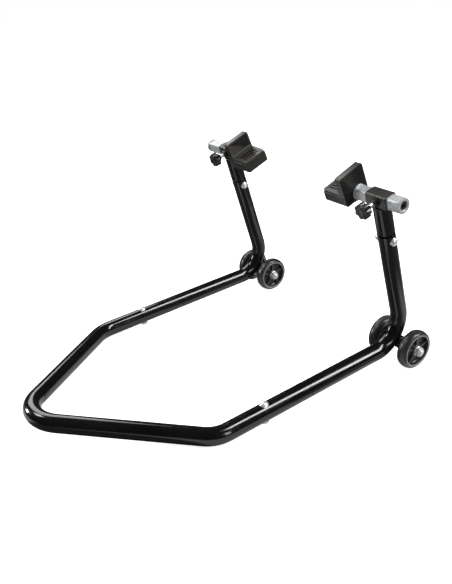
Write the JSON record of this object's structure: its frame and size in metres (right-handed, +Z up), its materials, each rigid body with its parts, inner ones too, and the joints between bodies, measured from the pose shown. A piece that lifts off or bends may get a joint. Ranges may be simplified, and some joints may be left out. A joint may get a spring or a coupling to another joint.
{
  "type": "motorcycle paddock stand",
  "caption": "Rear lift stand for a motorcycle: a bolted black tube frame with a V-shaped lever handle, small wheels, and sliding, swivelling swingarm cradles.",
  "frame": {"origin": "on the floor under the middle of the stand's box at rest", "axes": "+X to the stand's right, +Y from the handle to the wheels, +Z up"},
  "size_m": [0.5686, 0.716, 0.3974],
  "materials": {
    "gloss_black_paint": "gloss powder coat",
    "satin_black_paint": "satin powder coat",
    "zinc_plate": "mottled zinc plate",
    "bright_zinc": "bright zinc plate",
    "black_oxide": "black oxide",
    "pad_rubber": "satin moulded",
    "knob_plastic": "moulded, slightly glossy",
    "wheel_nylon": "soft sheen"
  },
  "bodies": {
    "frame": {"handle_tube": "gloss_black_paint", "side_arm_left": "gloss_black_paint", "head_post_left": "gloss_black_paint", "axle_boss_left": "gloss_black_paint", "clamp_sleeve_left": "satin_black_paint", "clamp_nut_left": "satin_black_paint", "axle_bolt_left": "bright_zinc", "axle_nut_left": "bright_zinc", "axle_washers_left": "bright_zinc", "arm_bolt_left": "bright_zinc", "arm_nut_left": "bright_zinc", "post_bolt_left": "bright_zinc", "post_nut_left": "bright_zinc", "side_arm_right": "gloss_black_paint", "head_post_right": "gloss_black_paint", "axle_boss_right": "gloss_black_paint", "clamp_sleeve_right": "satin_black_paint", "clamp_nut_right": "satin_black_paint", "axle_bolt_right": "bright_zinc", "axle_nut_right": "bright_zinc", "axle_washers_right": "bright_zinc", "arm_bolt_right": "bright_zinc", "arm_nut_right": "bright_zinc", "post_bolt_right": "bright_zinc", "post_nut_right": "bright_zinc"},
    "bar_left": {"slide_bar_left": "zinc_plate", "bar_flange_left": "zinc_plate", "bar_cap_left": "zinc_plate", "pad_bolt_left": "black_oxide"},
    "cradle_left": {"pad_left": "pad_rubber", "pad_insert_left": "bright_zinc"},
    "knob_left": {"star_knob_left": "knob_plastic", "clamp_screw_left": "bright_zinc"},
    "wheel_left_outer": {"wheel_left_outer": "wheel_nylon", "wheel_bush_left_outer": "bright_zinc"},
    "wheel_left_inner": {"wheel_left_inner": "wheel_nylon", "wheel_bush_left_inner": "bright_zinc"},
    "bar_right": {"slide_bar_right": "zinc_plate", "bar_flange_right": "zinc_plate", "bar_cap_right": "zinc_plate", "pad_bolt_right": "black_oxide"},
    "cradle_right": {"pad_right": "pad_rubber", "pad_insert_right": "bright_zinc"},
    "knob_right": {"star_knob_right": "knob_plastic", "clamp_screw_right": "bright_zinc"},
    "wheel_right_outer": {"wheel_right_outer": "wheel_nylon", "wheel_bush_right_outer": "bright_zinc"},
    "wheel_right_inner": {"wheel_right_inner": "wheel_nylon", "wheel_bush_right_inner": "bright_zinc"}
  },
  "joints": [
    {"name": "bar_slide_left", "type": "slide", "parent": "frame", "child": "bar_left", "axis": [-1, 0, 0], "range_m": [-0.0425, 0.0045]},
    {"name": "cradle_swivel_left", "type": "hinge", "parent": "bar_left", "child": "cradle_left", "pos_m": [-0.1762, 0.23433, 0.34938], "axis": [1, 0, 0], "continuous": true},
    {"name": "knob_turn_left", "type": "hinge", "parent": "frame", "child": "knob_left", "pos_m": [-0.213, 0.19328, 0.33659], "axis": [0, -0.9548, -0.2974], "range_deg": [0, 720]},
    {"name": "wheel_spin_left_outer", "type": "hinge", "parent": "frame", "child": "wheel_left_outer", "pos_m": [-0.2498, 0.31909, 0.039], "axis": [1, 0, 0], "continuous": true},
    {"name": "wheel_spin_left_inner", "type": "hinge", "parent": "frame", "child": "wheel_left_inner", "pos_m": [-0.1762, 0.31909, 0.039], "axis": [1, 0, 0], "continuous": true},
    {"name": "bar_slide_right", "type": "slide", "parent": "frame", "child": "bar_right", "axis": [1, 0, 0], "range_m": [-0.022, 0.025]},
    {"name": "cradle_swivel_right", "type": "hinge", "parent": "bar_right", "child": "cradle_right", "pos_m": [0.1696, 0.23433, 0.34938], "axis": [1, 0, 0], "continuous": true},
    {"name": "knob_turn_right", "type": "hinge", "parent": "frame", "child": "knob_right", "pos_m": [0.227, 0.19328, 0.33659], "axis": [0, -0.9548, -0.2974], "range_deg": [0, 720]},
    {"name": "wheel_spin_right_outer", "type": "hinge", "parent": "frame", "child": "wheel_right_outer", "pos_m": [0.2638, 0.31909, 0.039], "axis": [1, 0, 0], "continuous": true},
    {"name": "wheel_spin_right_inner", "type": "hinge", "parent": "frame", "child": "wheel_right_inner", "pos_m": [0.1902, 0.31909, 0.039], "axis": [1, 0, 0], "continuous": true}
  ]
}
